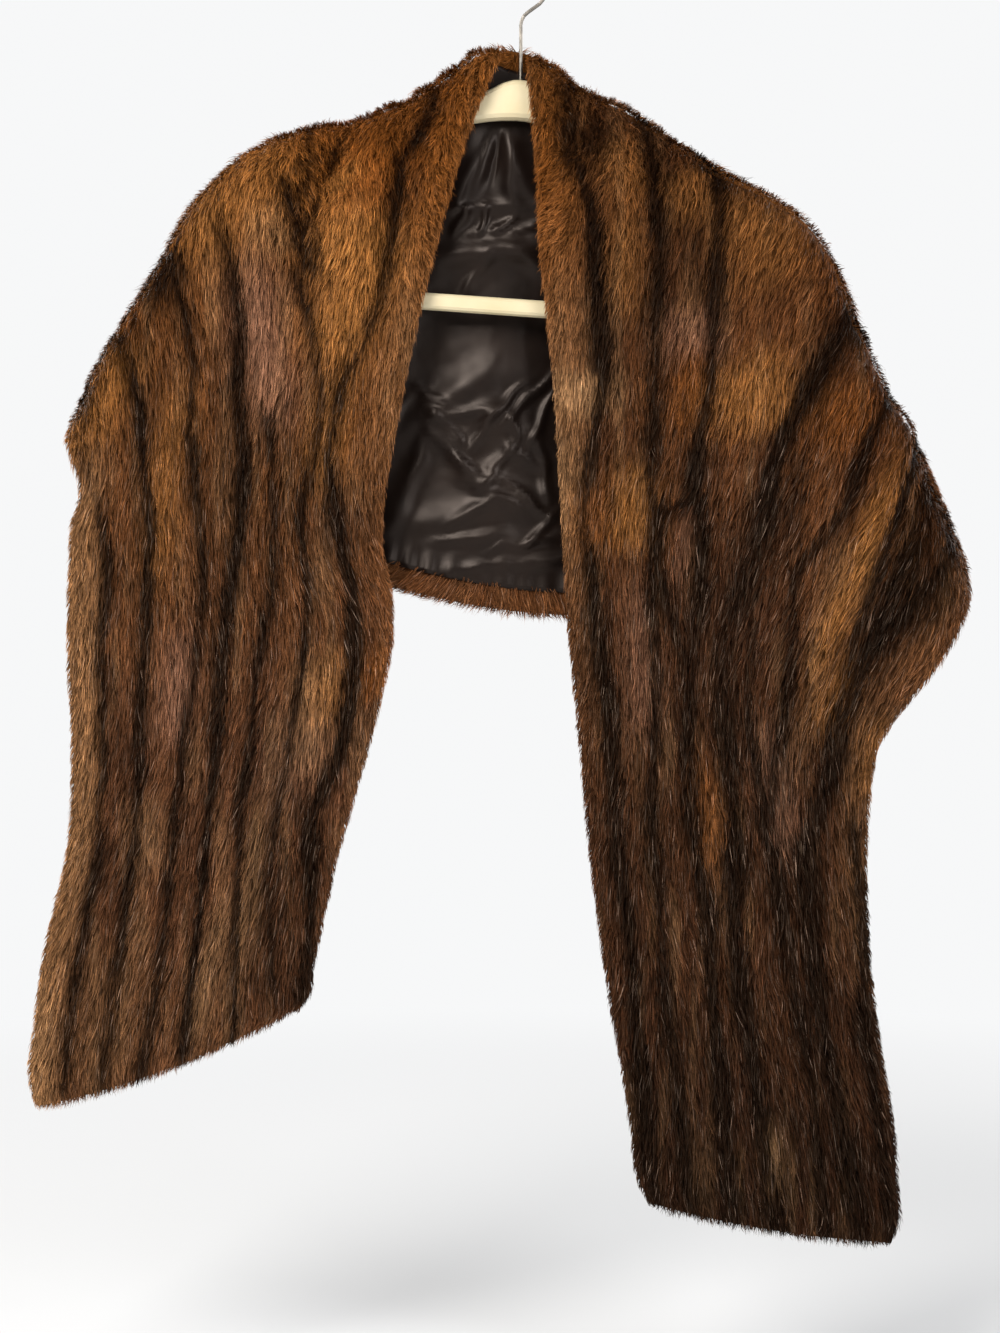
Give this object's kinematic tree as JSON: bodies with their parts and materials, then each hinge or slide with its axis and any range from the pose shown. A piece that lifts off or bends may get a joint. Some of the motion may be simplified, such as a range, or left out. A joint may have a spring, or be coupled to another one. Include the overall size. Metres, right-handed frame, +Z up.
{
  "type": "fur stole on a clothes hanger",
  "caption": "Long brown fur stole with a satin lining, open at the front, draped over a plain ivory clothes hanger with a wire hook.",
  "frame": {"origin": "the highest point inside the hook, where a rail carries it", "axes": "+Z up, +X to the right of someone who looks at the open fronts, +Y behind, square to the hanger's plane"},
  "size_m": [0.7568, 0.095, 1.0388],
  "materials": {
    "brown_fur": "matt",
    "brown_satin": "satin",
    "ivory_plastic": "glossy",
    "steel_wire": "satin"
  },
  "bodies": {
    "root": {"fur_back": "brown_fur", "fur_left_front": "brown_fur", "fur_right_front": "brown_fur", "lining_back": "brown_satin", "lining_left_front": "brown_satin", "lining_right_front": "brown_satin", "hanger_body": "ivory_plastic", "hanger_bar": "ivory_plastic", "hanger_hook": "steel_wire"}
  },
  "joints": []
}
